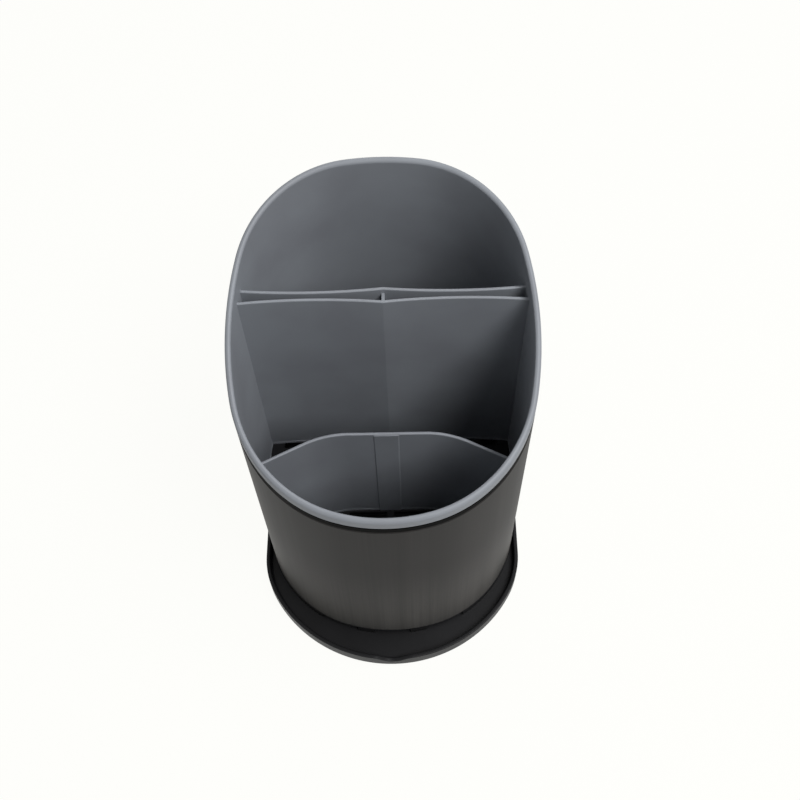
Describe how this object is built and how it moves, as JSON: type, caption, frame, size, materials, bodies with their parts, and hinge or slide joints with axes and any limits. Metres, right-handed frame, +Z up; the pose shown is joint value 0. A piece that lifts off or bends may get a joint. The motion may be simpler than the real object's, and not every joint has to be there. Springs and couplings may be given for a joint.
{
  "type": "cutlery drainer",
  "caption": "Oval slant-topped cutlery drainer with a divided moulded liner, knife slots, a dark steel sleeve and a black drip tray with a pouring spout.",
  "frame": {"origin": "centre of the overall box on the plane of the feet, so z = 0 is the worktop", "axes": "+Z is up, -Y is the low front with the pouring spout, +X is to the right seen from the front"},
  "size_m": [0.1282, 0.1604, 0.1867],
  "materials": {
    "coated_steel": "satin",
    "grey_moulding": "matte",
    "black_moulding": "matte",
    "foot_rubber": "matte"
  },
  "bodies": {
    "base": {"base_tray": "black_moulding", "foot_front_left": "foot_rubber", "foot_front_right": "foot_rubber", "foot_rear_left": "foot_rubber", "foot_rear_right": "foot_rubber"},
    "sleeve": {"outer_sleeve": "coated_steel"},
    "liner": {"liner": "grey_moulding", "drain_plate": "black_moulding"}
  },
  "joints": [
    {"name": "sleeve_lift", "type": "slide", "parent": "base", "child": "sleeve", "axis": [0, 0, 1], "range_m": [0, 0.06]},
    {"name": "liner_lift", "type": "slide", "parent": "sleeve", "child": "liner", "axis": [0, 0, 1], "range_m": [0, 0.175]}
  ]
}
